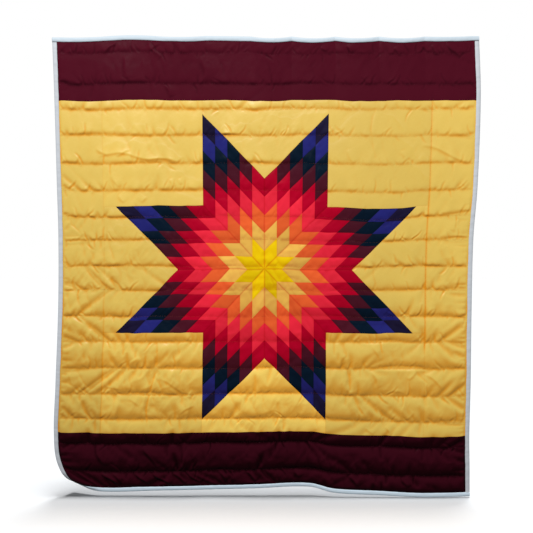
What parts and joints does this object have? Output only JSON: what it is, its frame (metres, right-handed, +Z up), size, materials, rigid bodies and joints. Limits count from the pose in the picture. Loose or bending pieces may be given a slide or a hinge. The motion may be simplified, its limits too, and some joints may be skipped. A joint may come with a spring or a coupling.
{
  "type": "star quilt blanket",
  "caption": "Padded quilt hung by its top edge: a pieced star on a gold field between dark bands, quilted in level rows, with a narrow pale binding and one curled lower corner.",
  "frame": {"origin": "the middle of the quilt's top edge, half way through its thickness", "axes": "+Z up, +X to the right as seen from the front, +Y into the back, so the pieced front faces -Y"},
  "size_m": [2.0766, 0.1731, 2.2556],
  "materials": {
    "maroon_satin": "satin weave, soft sheen",
    "gold_satin": "satin weave, soft sheen",
    "star_patchwork": "satin patches in rows of one colour each",
    "pale_binding": "smooth, slightly glossy folded strip"
  },
  "bodies": {
    "root": {"band_top": "maroon_satin", "band_bottom": "maroon_satin", "side_strip_left": "gold_satin", "side_strip_right": "gold_satin", "corner_square_top_left": "gold_satin", "corner_square_top_right": "gold_satin", "corner_square_bottom_left": "gold_satin", "corner_square_bottom_right": "gold_satin", "set_triangle_top": "gold_satin", "set_triangle_left": "gold_satin", "set_triangle_bottom": "gold_satin", "set_triangle_right": "gold_satin", "star_point_1": "star_patchwork", "star_point_2": "star_patchwork", "star_point_3": "star_patchwork", "star_point_4": "star_patchwork", "star_point_5": "star_patchwork", "star_point_6": "star_patchwork", "star_point_7": "star_patchwork", "star_point_8": "star_patchwork", "binding_top": "pale_binding", "binding_bottom": "pale_binding", "binding_left": "pale_binding", "binding_right": "pale_binding"}
  },
  "joints": []
}
